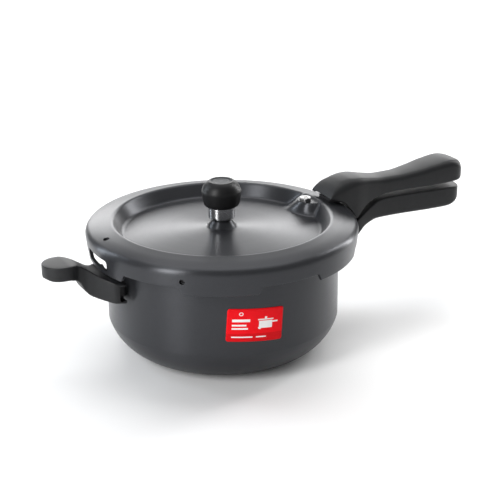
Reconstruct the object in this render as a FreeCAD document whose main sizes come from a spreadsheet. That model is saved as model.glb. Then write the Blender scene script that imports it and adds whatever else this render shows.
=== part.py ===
import FreeCAD, Part
import math
import os

import Sketcher

# Outer-lid pressure pan. +Z is up, +X runs along the long handles, and the
# origin is the centre of the pan's flat base, where it stands. Millimetres.

V = FreeCAD.Vector
Z_AXIS = V(0, 0, 1)
doc = FreeCAD.newDocument("PressurePan")

# ---------------------------------------------------------------- dimensions
DIMENSIONS = {
    # pan shell
    "pan_radius": 100.8,
    "pan_wall": 3.0,
    "base_radius": 67.0,
    "base_thickness": 3.5,
    "crease_height": 31.8,
    "base_arc": 44.0,
    "rim_height": 101.0,
    "flange_radius": 105.0,
    "flange_bottom": 94.4,
    "flange_thickness": 3.4,
    # bayonet: tabs on the pan's flange, hooks inside the lid's skirt
    "tab_radius": 110.0,
    "tab_sweep": 27.0,
    "hook_inner_radius": 104.5,
    "hook_sweep": 24.0,
    "hook_thickness": 3.2,
    "lug_middle": 3.25,
    "lug_pitch": 60.0,
    "lug_sweep": 31.5,
    "lug_gap_height": 97.0,
    # lid shell
    "skirt_foot_radius": 115.8,
    "skirt_foot_height": 90.5,
    "lid_corner_radius": 118.2,
    "lid_corner_height": 112.6,
    "lid_wall": 3.0,
    "corner_under_height": 110.2,
    "corner_round": 5.6,
    "corner_under_round": 2.6,
    "lip_radius": 94.2,
    "lip_height": 117.8,
    "lip_round": 3.0,
    "lip_under_radius": 95.5,
    "lip_under_height": 114.5,
    "panel_radius": 86.0,
    "panel_under_radius": 87.6,
    "panel_height": 106.0,
    "crown_arc": 140.0,
    "panel_crown": 3.4,
    "panel_arc": 1089.3,
    "vent_boss_radius": 12.0,
    "vent_boss_top_radius": 8.2,
    "vent_boss_top": 115.2,
    "vent_seat_under": 106.35,
    # raised land that carries the safety plug
    "land_centre": 97.0,
    "land_angle": 4.0,
    "land_top_radius": 19.0,
    "land_foot_radius": 24.0,
    "land_height": 116.6,
    # openings in the lid
    "window_half_width": 19.4,
    "window_bottom": 94.0,
    "window_top": 103.6,
    "top_hole_place": 107.0,
    "top_hole_radius": 2.75,
    "skirt_hole_angle": -132.0,
    "skirt_hole_height": 102.5,
    "skirt_hole_radius": 2.35,
    "drill_length": 16.0,
    # gasket
    "gasket_inner_radius": 98.3,
    "gasket_outer_radius": 113.6,
    "gasket_groove_radius": 109.0,
    "gasket_bottom": 101.3,
    "gasket_lip": 2.6,
    "gasket_height": 7.8,
    "gasket_corner": 1.2,
    # vent tube, washer and nut
    "tube_radius": 3.5,
    "tube_bore": 1.6,
    "tube_top": 126.0,
    "tube_foot": 96.0,
    "tube_collar_radius": 6.5,
    "tube_collar_height": 1.0,
    "vent_nut_radius": 6.5,
    "vent_nut_height": 4.0,
    "washer_radius": 8.0,
    "washer_height": 1.2,
    # pressure weight
    "weight_radius": 11.5,
    "weight_bottom": 117.0,
    "weight_shoulder": 127.2,
    "weight_neck_radius": 9.5,
    "weight_top": 144.0,
    "weight_bore": 5.0,
    "weight_bore_top": 127.0,
    "notch_width": 3.0,
    "notch_height": 1.5,
    "knob_foot_radius": 11.7,
    "knob_foot_arc": 4.6,
    "knob_low_radius": 15.6,
    "knob_low_height": 130.5,
    "knob_side_arc": 60.0,
    "knob_radius": 17.0,
    "knob_radius_height": 141.0,
    "knob_shoulder_arc": 12.5,
    "knob_top_radius": 10.7,
    "knob_height": 150.0,
    "knob_dish_radius": 9.4,
    "knob_dish_depth": 0.6,
    "pin_radius": 2.4,
    "pin_tip_radius": 1.2,
    "pin_tip": 122.5,
    "pin_shoulder": 126.6,
    "pin_top": 134.0,
    "clip_inner_radius": 3.8,
    "clip_outer_radius": 5.94,
    "clip_bottom": 119.5,
    "clip_height": 1.8,
    # safety plug
    "plug_place": 84.8,
    "plug_angle": 2.5,
    "plug_hex_radius": 5.6,
    "plug_hex_height": 3.6,
    "plug_stem_radius": 3.0,
    "plug_stem_length": 12.0,
    "plug_core_radius": 1.4,
    "plug_nut_radius": 4.8,
    "plug_nut_height": 3.5,
    # long handles
    "handle_half_width": 17.0,
    "handle_neck_half_width": 12.0,
    "handle_root_end": 126.0,
    "handle_neck_place": 158.0,
    "lid_handle_tip": 243.5,
    "pan_handle_tip": 240.5,
    "hood_cavity_half_width": 13.2,
    "pan_mount_radius": 104.9,
    "strap_half_width": 9.0,
    "strap_top": 118.6,
    # brackets on the pan wall
    "plate_thickness": 2.0,
    "plate_bottom": 70.0,
    "plate_top": 86.0,
    "plate_sweep": 20.0,
    "tongue_half_width": 8.0,
    "tongue_bottom": 76.0,
    "tongue_top": 80.5,
    "pan_tongue_end": 119.0,
    "helper_tongue_end": 118.0,
    # helper handle
    "helper_disc_centre": 149.0,
    "helper_disc_radius": 15.0,
    "helper_neck_half_width": 9.5,
    "helper_base_half_width": 27.0,
    "helper_root": 98.0,
    "helper_base_end": 106.0,
    "helper_waist_place": 118.0,
    "helper_neck_place": 131.0,
    # fasteners
    "rivet_radius": 2.0,
    "rivet_head_radius": 3.6,
    "rivet_head_height": 1.4,
    "screw_radius": 1.9,
    "screw_head_radius": 3.8,
    "screw_head_height": 2.4,
    "screw_slot_width": 1.0,
    "screw_slot_depth": 0.9,
    "lid_screw_place": 133.0,
    "lid_screw_foot": 103.8,
    "screw_length": 17.0,
    "strap_rivet_place": 106.0,
    "strap_rivet_half_pitch": 4.6,
    "window_depth": 106.0,
    "notch_angle": -146.0,
    "clip_groove_radius": 6.0,
    "clip_play": 0.1,
    # label
    "label_start": -114.6,
    "label_sweep": 27.2,
    "label_bottom": 43.5,
    "label_top": 72.5,
    "label_thickness": 0.25,
}

# The third lug is the one below the gasket-release window: it has no hook.
WINDOW_LUG = 3
RIVET_SPREAD = 7.0
NOTCH_COUNT = 6

# Side outlines of the three handles, as (distance from the axis, height).
LID_HANDLE_OUTLINE = (
    (99.0, 121.0), (104.0, 119.6), (113.0, 117.4), (119.6, 110.5), (122.6, 105.0),
    (126.0, 99.0), (134.0, 106.0), (141.0, 111.0), (150.0, 114.0), (162.0, 116.0),
    (187.0, 117.0), (238.0, 118.5), (245.0, 122.0), (246.5, 128.0), (240.0, 134.0),
    (228.0, 137.5), (212.0, 135.3), (193.0, 132.0), (174.0, 130.0), (160.0, 130.0),
    (144.0, 132.0), (131.0, 134.8), (116.0, 134.0), (107.0, 130.5), (99.0, 122.0),
)
HOOD_CAVITY_OUTLINE = (
    (97.0, 108.0), (123.5, 108.0), (123.5, 130.5), (117.0, 130.5), (109.0, 127.4),
    (101.6, 119.9), (97.0, 119.0),
)
LID_STRAP_OUTLINE = (
    (102.0, 116.2), (112.3, 113.88), (114.3, 115.8), (142.0, 115.8), (142.0, 118.6),
    (112.0, 118.6), (102.0, 119.0),
)
PAN_HANDLE_OUTLINE = (
    (98.0, 66.0), (110.0, 68.0), (118.0, 72.5), (129.0, 82.0), (139.0, 89.5),
    (152.0, 93.0), (172.0, 93.3), (232.0, 94.3), (240.0, 98.0), (242.5, 104.0),
    (242.0, 111.8), (228.0, 112.4), (170.0, 112.0), (154.0, 110.8), (144.0, 107.0),
    (136.0, 102.0), (127.5, 97.0), (122.5, 91.0), (119.5, 88.3), (98.0, 88.3),
)
HELPER_SIDE_OUTLINE = (
    (-98.0, 65.0), (-98.0, 82.0), (-111.0, 85.0), (-121.0, 90.0), (-131.0, 97.0),
    (-138.0, 101.0), (-146.0, 102.5), (-164.0, 102.5), (-164.0, 92.5), (-161.0, 90.5),
    (-147.0, 90.0), (-140.0, 88.0), (-135.0, 84.0), (-131.0, 76.5), (-126.0, 71.5),
    (-115.0, 67.5),
)

OUTLINES = {
    "lid_handle": LID_HANDLE_OUTLINE,
    "hood_cavity": HOOD_CAVITY_OUTLINE,
    "lid_strap": LID_STRAP_OUTLINE,
    "pan_handle": PAN_HANDLE_OUTLINE,
    "helper": HELPER_SIDE_OUTLINE,
}

sheet = doc.addObject("Spreadsheet::Sheet", "dims")
VALUES = dict(DIMENSIONS)
for title, outline_points in OUTLINES.items():
    for number, (across, up) in enumerate(outline_points, start=1):
        VALUES[f"{title}_across_{number}"] = across
        VALUES[f"{title}_up_{number}"] = up
for row, (alias, value) in enumerate(VALUES.items(), start=1):
    sheet.set(f"A{row}", alias)
    sheet.set(f"B{row}", str(value))
    sheet.setAlias(f"B{row}", alias)
doc.recompute()


class Size:
    """A length or angle worked out from the sheet: its value and its expression."""

    def __init__(self, value, text):
        self.value = value
        self.text = text

    def joined(self, other, sign, value):
        return Size(value, f"({self.text} {sign} {other.text})")

    def __add__(self, other):
        return self.joined(as_size(other), "+", self.value + as_size(other).value)

    def __sub__(self, other):
        return self.joined(as_size(other), "-", self.value - as_size(other).value)

    def __mul__(self, other):
        return self.joined(as_size(other), "*", self.value * as_size(other).value)

    def __truediv__(self, other):
        return self.joined(as_size(other), "/", self.value / as_size(other).value)

    def __neg__(self):
        return Size(-self.value, f"(0 - {self.text})")


def as_size(thing):
    if isinstance(thing, Size):
        return thing
    return Size(float(thing), repr(float(thing)))


def of(alias):
    return Size(sheet.get(alias), f"dims.{alias}")


def points_of(title):
    count = len(OUTLINES[title])
    return [(of(f"{title}_across_{n}"), of(f"{title}_up_{n}")) for n in range(1, count + 1)]


def bind(thing, name, length):
    thing.setExpression(name, as_size(length).text)


# ------------------------------------------------------------------- helpers
nodes = {}


def piece(label, thing):
    """Makes an object of the document one of the pieces that are written out."""
    thing.Label = label
    nodes[label] = thing
    return thing


def origin_plane(body, role):
    return next(plane for plane in body.Origin.OriginFeatures if plane.Role == role)


def arc_middle(start, end, radius):
    """The middle of an arc; a positive radius bulges to the right of its run."""
    chord = end - start
    half = chord.Length / 2
    rise = abs(radius) - math.sqrt(radius * radius - half * half)
    right = V(chord.y, -chord.x, 0).normalize()
    return (start + end) / 2 + right * math.copysign(rise, radius)


def outline_sketch(body, role, points):
    """A closed outline; a point's third entry is the radius of the arc that leaves it."""
    sketch = body.newObject("Sketcher::SketchObject", body.Name + "_outline")
    sketch.AttachmentSupport = [(origin_plane(body, role), "")]
    sketch.MapMode = "FlatFace"
    places = [V(as_size(p[0]).value, as_size(p[1]).value, 0) for p in points]
    starts = []
    ends = []
    for index, point in enumerate(points):
        start = places[index]
        end = places[(index + 1) % len(points)]
        if len(point) == 3:
            middle = arc_middle(start, end, point[2].value)
            edge = sketch.addGeometry(Part.Arc(start, middle, end), False)
            bend = Sketcher.Constraint("Radius", edge, abs(point[2].value))
            named = sketch.addConstraint(bend)
            radius = point[2] if point[2].value > 0 else -point[2]
            sketch.setExpression(f"Constraints[{named}]", radius.text)
        else:
            edge = sketch.addGeometry(Part.LineSegment(start, end), False)
        first = 1 if sketch.getPoint(edge, 1).distanceToPoint(start) < 1e-6 else 2
        starts.append((edge, first))
        ends.append((edge, 3 - first))
    for index, point in enumerate(points):
        edge, end = starts[index]
        sketch.addConstraint(Sketcher.Constraint("Coincident", *ends[index - 1], edge, end))
        for kind, length in (("DistanceX", point[0]), ("DistanceY", point[1])):
            value = as_size(length).value
            named = sketch.addConstraint(Sketcher.Constraint(kind, -1, 1, edge, end, value))
            sketch.setExpression(f"Constraints[{named}]", as_size(length).text)
    return sketch


def turned(name, points):
    """A body of revolution about Z from an outline in radius and height."""
    body = doc.addObject("PartDesign::Body", name)
    sketch = outline_sketch(body, "XZ_Plane", points)
    revolution = body.newObject("PartDesign::Revolution", name + "_turn")
    revolution.Profile = sketch
    revolution.ReferenceAxis = (sketch, ["V_Axis"])
    revolution.Angle = 360
    doc.recompute()
    return body


def extruded(name, role, points, length):
    """A body of an outline in one of the origin planes, as thick on both sides."""
    body = doc.addObject("PartDesign::Body", name)
    sketch = outline_sketch(body, role, points)
    pad = body.newObject("PartDesign::Pad", name + "_pad")
    pad.Profile = sketch
    pad.Midplane = True
    bind(pad, "Length", length)
    doc.recompute()
    return body


def circle_edges(shape, radius, height):
    """The names of the round edges about Z with this radius, at this height."""
    found = []
    for number, edge in enumerate(shape.Edges, start=1):
        if edge.Degenerated or not isinstance(edge.Curve, Part.Circle):
            continue
        same_radius = abs(edge.Curve.Radius - radius.value) < 1e-4
        if same_radius and abs(edge.Curve.Center.z - height.value) < 1e-4:
            found.append(f"Edge{number}")
    return found


def round_circles(body, radius, circles):
    """Rounds a turned body's edges, each given by its radius and height."""
    last = body.Tip
    edges = [name for circle in circles for name in circle_edges(last.Shape, *circle)]
    rounding = body.newObject("PartDesign::Fillet", body.Name + "_round")
    rounding.Base = (last, edges)
    bind(rounding, "Radius", radius)
    doc.recompute()
    return rounding


def cylinder(name, radius, height, place=V(0, 0, 0), axis=Z_AXIS):
    solid = doc.addObject("Part::Cylinder", name)
    bind(solid, "Radius", radius)
    bind(solid, "Height", height)
    solid.Placement = FreeCAD.Placement(place, FreeCAD.Rotation(Z_AXIS, axis))
    return solid


def cone(name, foot, top, height, place):
    solid = doc.addObject("Part::Cone", name)
    bind(solid, "Radius1", foot)
    bind(solid, "Radius2", top)
    bind(solid, "Height", height)
    solid.Placement = FreeCAD.Placement(place, FreeCAD.Rotation())
    return solid


def hexagon(name, radius, height, place):
    solid = doc.addObject("Part::Prism", name)
    solid.Polygon = 6
    bind(solid, "Circumradius", radius)
    bind(solid, "Height", height)
    solid.Placement = FreeCAD.Placement(place, FreeCAD.Rotation())
    return solid


def block(name, low, high):
    """A box between two corners, each a triple of sizes."""
    solid = doc.addObject("Part::Box", name)
    corner = []
    for prop, first, last in zip(("Length", "Width", "Height"), low, high):
        bind(solid, prop, as_size(last) - as_size(first))
        corner.append(as_size(first).value)
    solid.Placement = FreeCAD.Placement(V(*corner), FreeCAD.Rotation())
    return solid


def sector_ring(name, inner, outer, bottom, top, middle, sweep):
    """A ring about Z between two radii, over an angle about its middle."""
    wedge = cylinder(name + "_wedge", outer, as_size(top) - bottom)
    bind(wedge, "Angle", sweep)
    turn = FreeCAD.Rotation(Z_AXIS, middle - as_size(sweep).value / 2)
    wedge.Placement = FreeCAD.Placement(V(0, 0, as_size(bottom).value), turn)
    core_place = V(0, 0, as_size(bottom).value - 1)
    core = cylinder(name + "_core", inner, as_size(top) - bottom + 2, core_place)
    return cut(name, wedge, [core])


def cut(name, base, tools):
    solid = doc.addObject("Part::Cut", name)
    solid.Base = base
    solid.Tool = tools[0] if len(tools) == 1 else fuse(name + "_tools", tools)
    doc.recompute()
    return solid


def fuse(name, parts):
    solid = doc.addObject("Part::MultiFuse", name)
    solid.Shapes = parts
    solid.Refine = True
    doc.recompute()
    return solid


def common(name, parts):
    solid = doc.addObject("Part::MultiCommon", name)
    solid.Shapes = parts
    doc.recompute()
    return solid


def around(radius, degrees, height):
    angle = math.radians(degrees)
    return V(radius * math.cos(angle), radius * math.sin(angle), height)


def rivet(label, foot, axis, grip):
    """A domed rivet: its shank runs from foot along axis, with a head on each end."""
    direction = V(axis).normalize()
    head = of("rivet_head_height")
    shank = cylinder(label + "_shank", of("rivet_radius"), grip, foot, direction)
    parts = [shank]
    ends = ((foot, -direction), (foot + direction * as_size(grip).value, direction))
    for number, (end, outward) in enumerate(ends):
        parts.append(
            domed_head(f"{label}_head_{number}", end, outward, of("rivet_head_radius"), head)
        )
    return piece(label, fuse(label, parts))


def domed_head(name, foot, axis, radius, height):
    solid = doc.addObject("Part::Cone", name)
    bind(solid, "Radius1", radius)
    bind(solid, "Radius2", radius * 0.6)
    bind(solid, "Height", height)
    solid.Placement = FreeCAD.Placement(foot, FreeCAD.Rotation(Z_AXIS, axis))
    return solid


def screw(label, head_place, axis, length):
    """A slotted screw whose head's outer face is at head_place."""
    direction = V(axis).normalize()
    head_height = of("screw_head_height")
    head = cylinder(label + "_head", of("screw_head_radius"), head_height, head_place, direction)
    shank = cylinder(label + "_shank", of("screw_radius"), length, head_place, direction)
    half = of("screw_slot_width") / 2
    reach = of("screw_head_radius") + 1
    slot = block(label + "_slot", (-reach, -half, -1), (reach, half, of("screw_slot_depth")))
    turn = FreeCAD.Rotation(Z_AXIS, direction)
    low = slot.Placement.Base
    slot.Placement = FreeCAD.Placement(head_place + turn.multVec(low), turn)
    return piece(label, cut(label, fuse(label + "_solid", [head, shank]), [slot]))


# ----------------------------------------------------------------- pan pieces
def pan_shell():
    """The drawn shell: flat base, curved bottom, straight wall and its flange."""
    wall = of("pan_wall")
    inside = of("pan_radius") - wall
    flange_top = of("flange_bottom") + of("flange_thickness")
    shell = turned("pan_turned", (
        (0, 0),
        (of("base_radius"), 0, of("base_arc")),
        (of("pan_radius"), of("crease_height")),
        (of("pan_radius"), of("flange_bottom")),
        (of("flange_radius"), of("flange_bottom")),
        (of("flange_radius"), flange_top),
        (of("pan_radius"), flange_top),
        (of("pan_radius"), of("rim_height")),
        (inside, of("rim_height")),
        (inside, of("crease_height") + 1, -(of("base_arc") - wall)),
        (of("base_radius") - 1, of("base_thickness")),
        (0, of("base_thickness")),
    ))
    tabs = bayonet("pan_tab", inside + 0.5, of("tab_radius"), of("flange_bottom"),
                   flange_top, of("tab_sweep"))
    return fuse("pan_shell", [shell, *tabs])


def bayonet(name, inner, outer, bottom, top, sweep):
    """The set of tabs or hooks: one at each lug but the one below the lid's window."""
    pieces = []
    for number in range(6):
        middle = of("lug_middle") + of("lug_pitch") * number
        if number == WINDOW_LUG:
            continue
        pieces.append(
            sector_ring(f"{name}_{number}", inner, outer, bottom, top, middle.value, sweep)
        )
    return pieces


def wall_bracket(label, angle, tongue_end):
    """A curved plate on the pan's wall with a tongue that runs into the handle."""
    radius = of("pan_radius")
    outer = radius + of("plate_thickness")
    plate = sector_ring(label + "_plate", radius, outer, of("plate_bottom"),
                        of("plate_top"), angle, of("plate_sweep"))
    half = of("tongue_half_width")
    inner = radius + 1
    tongue = block(label + "_tongue", (inner, -half, of("tongue_bottom")),
                   (tongue_end, half, of("tongue_top")))
    turn = FreeCAD.Rotation(Z_AXIS, angle)
    tongue.Placement = FreeCAD.Placement(turn.multVec(tongue.Placement.Base), turn)
    inside_wall = cylinder(label + "_inside", radius, of("knob_height"))
    return cut(label + "_formed", fuse(label + "_solid", [plate, tongue]), [inside_wall])


def wall_rivets(label, angle):
    """Two rivets through the pan's wall and a bracket's plate, beside its tongue."""
    height = (of("plate_bottom") + of("plate_top")).value / 2
    grip = of("pan_wall") + of("plate_thickness")
    foot_radius = (of("pan_radius") - of("pan_wall")).value
    made = []
    for number, side in enumerate((-1, 1), start=1):
        turn = angle + side * RIVET_SPREAD
        foot = around(foot_radius, turn, height)
        made.append(rivet(f"{label}_{number}", foot, around(1, turn, 0), grip))
    return made


def long_handle(title, tip):
    """A long handle: its side outline crossed with its outline from above."""
    half = of("handle_half_width")
    neck = of("handle_neck_half_width")
    root_end = of("handle_root_end")
    neck_place = of("handle_neck_place")
    swell = tip - half
    side = extruded(f"{title}_side", "XZ_Plane", points_of(title), half * 2)
    plan = extruded(f"{title}_plan", "XY_Plane", (
        (of("panel_radius"), -half),
        (root_end, -half),
        (neck_place, -neck),
        (swell, -half, half),
        (tip, 0, half),
        (swell, half),
        (neck_place, neck),
        (root_end, half),
        (of("panel_radius"), half),
    ), of("knob_height") * 2)
    return common(f"{title}_crossed", [side, plan])


def mount_cylinder(name):
    """The round wall that a handle's root is hollowed to fit."""
    return cylinder(name, of("pan_mount_radius"), of("knob_height"))


def pan_handle_shape():
    body = long_handle("pan_handle", of("pan_handle_tip"))
    return cut("pan_handle_hollowed", body, [mount_cylinder("pan_handle_mount")])


def helper_handle_shape():
    """The short handle: its side outline crossed with its outline from above."""
    disc = -of("helper_disc_centre")
    radius = of("helper_disc_radius")
    neck = of("helper_neck_half_width")
    base = of("helper_base_half_width")
    waist = base * 0.62
    root = -of("helper_root")
    base_end = -of("helper_base_end")
    waist_place = -of("helper_waist_place")
    neck_place = -of("helper_neck_place")
    side = extruded("helper_side", "XZ_Plane", points_of("helper"), base * 3)
    plan = extruded("helper_plan", "XY_Plane", (
        (root, base),
        (base_end, base),
        (waist_place, waist),
        (neck_place, neck, -radius * 2),
        (disc + radius * 0.6, radius * 0.8, radius),
        (disc - radius, 0, radius),
        (disc + radius * 0.6, -radius * 0.8, -radius * 2),
        (neck_place, -neck),
        (waist_place, -waist),
        (base_end, -base),
        (root, -base),
    ), of("rim_height") * 3)
    crossed = common("helper_crossed", [side, plan])
    return cut("helper_hollowed", crossed, [mount_cylinder("helper_mount")])


def label_plate():
    radius = of("pan_radius")
    middle = (of("label_start") + of("label_sweep") / 2).value
    return sector_ring("label_plate", radius, radius + of("label_thickness"),
                       of("label_bottom"), of("label_top"), middle, of("label_sweep"))


def build_pan():
    shell = pan_shell()
    bracket = wall_bracket("pan_bracket", 0, of("pan_tongue_end"))
    helper_bracket = wall_bracket("helper_bracket_blank", 180, of("helper_tongue_end"))
    rivets = wall_rivets("pan_handle_rivet", 0)
    helper_rivets = wall_rivets("helper_handle_rivet", 180)
    handle = pan_handle_shape()
    helper = helper_handle_shape()
    screws = {
        "pan_handle_screw": (V(112.0, 0, 67.6), V(0, 0, 1), handle, bracket),
        "helper_handle_screw": (V(-112.0, 0, 66.2), V(0, 0, 1), helper, helper_bracket),
    }
    piece("pan_body", cut("pan_drilled", shell, rivets + helper_rivets))
    for label, (place, axis, grip, plate) in screws.items():
        fixing = screw(label, place, axis, of("screw_length"))
        base = label.replace("_screw", "")
        rivets_here = rivets if plate is bracket else helper_rivets
        piece(base, cut(base + "_drilled", grip, [plate, fixing]))
        piece(base + "_bracket", cut(base + "_plate_drilled", plate, [fixing, *rivets_here]))
    piece("front_label", label_plate())


# ----------------------------------------------------------------- lid pieces
def lid_shell():
    """The pressed lid: sunk panel, sloped ring and skirt, with its land and boss."""
    wall = of("lid_wall")
    ring_edge = of("skirt_foot_radius") - wall
    crown_top = of("panel_height") + of("panel_crown")
    shell = turned("lid_turned", (
        (0, crown_top - wall, -of("panel_arc")),
        (of("panel_under_radius"), of("panel_height") - wall),
        (of("lip_under_radius"), of("lip_under_height"), -of("crown_arc")),
        (of("lid_corner_radius") - wall, of("corner_under_height")),
        (ring_edge, of("skirt_foot_height")),
        (of("skirt_foot_radius"), of("skirt_foot_height")),
        (of("lid_corner_radius"), of("lid_corner_height"), of("crown_arc")),
        (of("lip_radius"), of("lip_height")),
        (of("panel_radius"), of("panel_height"), of("panel_arc")),
        (0, crown_top),
    ))
    round_circles(shell, of("corner_round"), [
        (of("lid_corner_radius"), of("lid_corner_height")),
    ])
    round_circles(shell, of("corner_under_round"), [
        (of("lid_corner_radius") - wall, of("corner_under_height")),
    ])
    round_circles(shell, of("lip_round"), [
        (of("lip_radius"), of("lip_height")),
        (of("panel_radius"), of("panel_height")),
    ])
    land, hollow = plug_land()
    boss = cone("vent_boss", of("vent_boss_radius"), of("vent_boss_top_radius"),
                of("vent_boss_top") - crown_top + 1, V(0, 0, crown_top.value - 1))
    hooks = bayonet("lid_hook", of("hook_inner_radius"), of("skirt_foot_radius") - 1,
                    of("skirt_foot_height"),
                    of("skirt_foot_height") + of("hook_thickness"), of("hook_sweep"))
    solid = fuse("lid_solid", [shell, land, boss, *hooks])
    return cut("lid_opened", solid, [hollow, *lid_openings(), *lug_gaps()])


def plug_land():
    """The raised land at the handle's side of the panel, and the hollow under it."""
    floor = of("panel_height") - of("lid_wall")
    centre = around(of("land_centre").value, of("land_angle").value, floor.value)
    height = of("land_height") - floor
    rise = cone("land_cone", of("land_foot_radius"), of("land_top_radius"), height, centre)
    limit = cylinder("land_limit", of("lip_under_radius") + 0.2, of("knob_height"))
    side = of("lid_wall") / 2
    under = cone("land_hollow", of("land_foot_radius") - side, of("land_top_radius") - side,
                 height - of("lid_wall"), centre)
    return common("land", [rise, limit]), common("land_under", [under, limit])


def lid_openings():
    """The gasket-release window, the hole above it and the hole in the skirt."""
    half = of("window_half_width")
    window = block("window", (-of("skirt_foot_radius") - 10, -half, of("window_bottom")),
                   (-of("window_depth"), half, of("window_top")))
    top_hole = cylinder("top_hole", of("top_hole_radius"), of("drill_length"),
                        V(-of("top_hole_place").value, 0, of("window_top").value + 1))
    angle = of("skirt_hole_angle").value
    skirt_hole = cylinder("skirt_hole", of("skirt_hole_radius"), of("drill_length"),
                          around(of("gasket_groove_radius").value, angle,
                                 of("skirt_hole_height").value),
                          around(1, angle, 0))
    return [window, top_hole, skirt_hole]


def lug_gaps():
    """The stretches between lugs, where the skirt's foot is cut back."""
    gaps = []
    for number in range(6):
        middle = of("lug_middle") + of("lug_pitch") * (number + 0.5)
        gaps.append(sector_ring(f"lug_gap_{number}", of("hook_inner_radius") - 1,
                                of("lid_corner_radius") + 5, of("skirt_foot_height") - 1,
                                of("lug_gap_height"), middle.value,
                                of("lug_pitch") - of("lug_sweep")))
    return gaps


def lid_strap(shell):
    """The steel strap that carries the handle, bedded down on the ring."""
    blank = extruded("lid_strap", "XZ_Plane", points_of("lid_strap"),
                     of("strap_half_width") * 2)
    return cut("strap_bedded", blank, [shell])


def lid_handle_shape():
    body = long_handle("lid_handle", of("lid_handle_tip"))
    cavity = extruded("hood_cavity", "XZ_Plane", points_of("hood_cavity"),
                      of("hood_cavity_half_width") * 2)
    return cut("lid_handle_hollowed", body, [cavity])


def ring_under(radius):
    """The height of the underside of the lid's ring at a radius."""
    rise = of("lip_under_height") - of("corner_under_height")
    run = of("lid_corner_radius") - of("lid_wall") - of("lip_under_radius")
    return (of("lip_under_height") - rise / run * (radius - of("lip_under_radius"))).value


def strap_rivets():
    """Two rivets that hold the strap down on the lid's ring."""
    place = of("strap_rivet_place")
    foot_height = ring_under(place)
    made = []
    for number, side in enumerate((-1, 1), start=1):
        foot = V(place.value, side * of("strap_rivet_half_pitch").value, foot_height)
        made.append(rivet(f"lid_handle_rivet_{number}", foot, Z_AXIS,
                          of("strap_top") - foot_height))
    return made


def safety_plug():
    """A hexagon-headed plug with a fusible core, and the nut that holds it."""
    top = of("land_height")
    place = around(of("plug_place").value, of("plug_angle").value, 0)
    head = hexagon("plug_head", of("plug_hex_radius"), of("plug_hex_height"),
                   place + Z_AXIS * top.value)
    foot = top - of("plug_stem_length")
    stem = cylinder("plug_stem", of("plug_stem_radius"), of("plug_stem_length") + 1,
                    place + Z_AXIS * foot.value)
    core = cylinder("plug_core", of("plug_core_radius"),
                    of("plug_stem_length") + of("plug_hex_height"),
                    place + Z_AXIS * foot.value)
    plug = cut("plug_bored", fuse("plug_solid", [head, stem]), [core])
    nut_foot = top - of("lid_wall") - of("plug_nut_height")
    nut = hexagon("plug_nut", of("plug_nut_radius"), of("plug_nut_height"),
                  place + Z_AXIS * nut_foot.value)
    piece("safety_plug", plug)
    piece("safety_plug_core", core)
    piece("safety_plug_nut", cut("plug_nut_bored", nut, [stem]))
    return stem


def vent_parts():
    """The vent tube through the panel, with its washer and nut below."""
    seat = of("vent_boss_top")
    under = of("vent_seat_under")
    length = of("tube_top") - of("tube_foot")
    tube = cylinder("tube", of("tube_radius"), length, V(0, 0, of("tube_foot").value))
    collar = hexagon("tube_collar", of("tube_collar_radius"), of("tube_collar_height"),
                     V(0, 0, seat.value))
    bore = cylinder("tube_hole", of("tube_bore"), length + 2,
                    V(0, 0, of("tube_foot").value - 1))
    washer_foot = under - of("washer_height")
    washer = cylinder("vent_washer_blank", of("washer_radius"), of("washer_height"),
                      V(0, 0, washer_foot.value))
    nut_foot = washer_foot - of("vent_nut_height")
    nut = hexagon("vent_nut_blank", of("vent_nut_radius"), of("vent_nut_height"),
                  V(0, 0, nut_foot.value))
    piece("vent_tube", cut("vent_bored", fuse("vent_solid", [tube, collar]), [bore]))
    piece("vent_washer", cut("vent_washer_bored", washer, [tube]))
    piece("vent_nut", cut("vent_nut_bored", nut, [tube]))
    return tube


def build_lid():
    shell = lid_shell()
    strap = lid_strap(shell)
    handle = lid_handle_shape()
    rivets = strap_rivets()
    fixing = screw("lid_handle_screw", V(of("lid_screw_place").value, 0,
                                         of("lid_screw_foot").value),
                   Z_AXIS, of("screw_length"))
    holes = [safety_plug(), vent_parts(), *rivets]
    piece("lid_shell", cut("lid_drilled", shell, holes))
    piece("lid_handle", cut("lid_handle_drilled", handle, [strap, fixing]))
    piece("lid_handle_bracket", cut("strap_drilled", strap, [fixing, *rivets]))


# ----------------------------------------------------- gasket and the weight
def build_gasket():
    """A lipped sealing ring whose groove opens towards the inside."""
    bottom = of("gasket_bottom")
    top = bottom + of("gasket_height")
    lip = of("gasket_lip")
    corner = of("gasket_corner")
    piece("gasket", turned("gasket_ring", (
        (of("gasket_inner_radius"), bottom),
        (of("gasket_outer_radius"), bottom),
        (of("gasket_outer_radius"), top - corner),
        (of("gasket_outer_radius") - corner, top),
        (of("gasket_inner_radius"), top),
        (of("gasket_inner_radius"), top - lip),
        (of("gasket_groove_radius"), top - lip),
        (of("gasket_groove_radius"), bottom + lip),
        (of("gasket_inner_radius"), bottom + lip),
    )))


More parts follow.
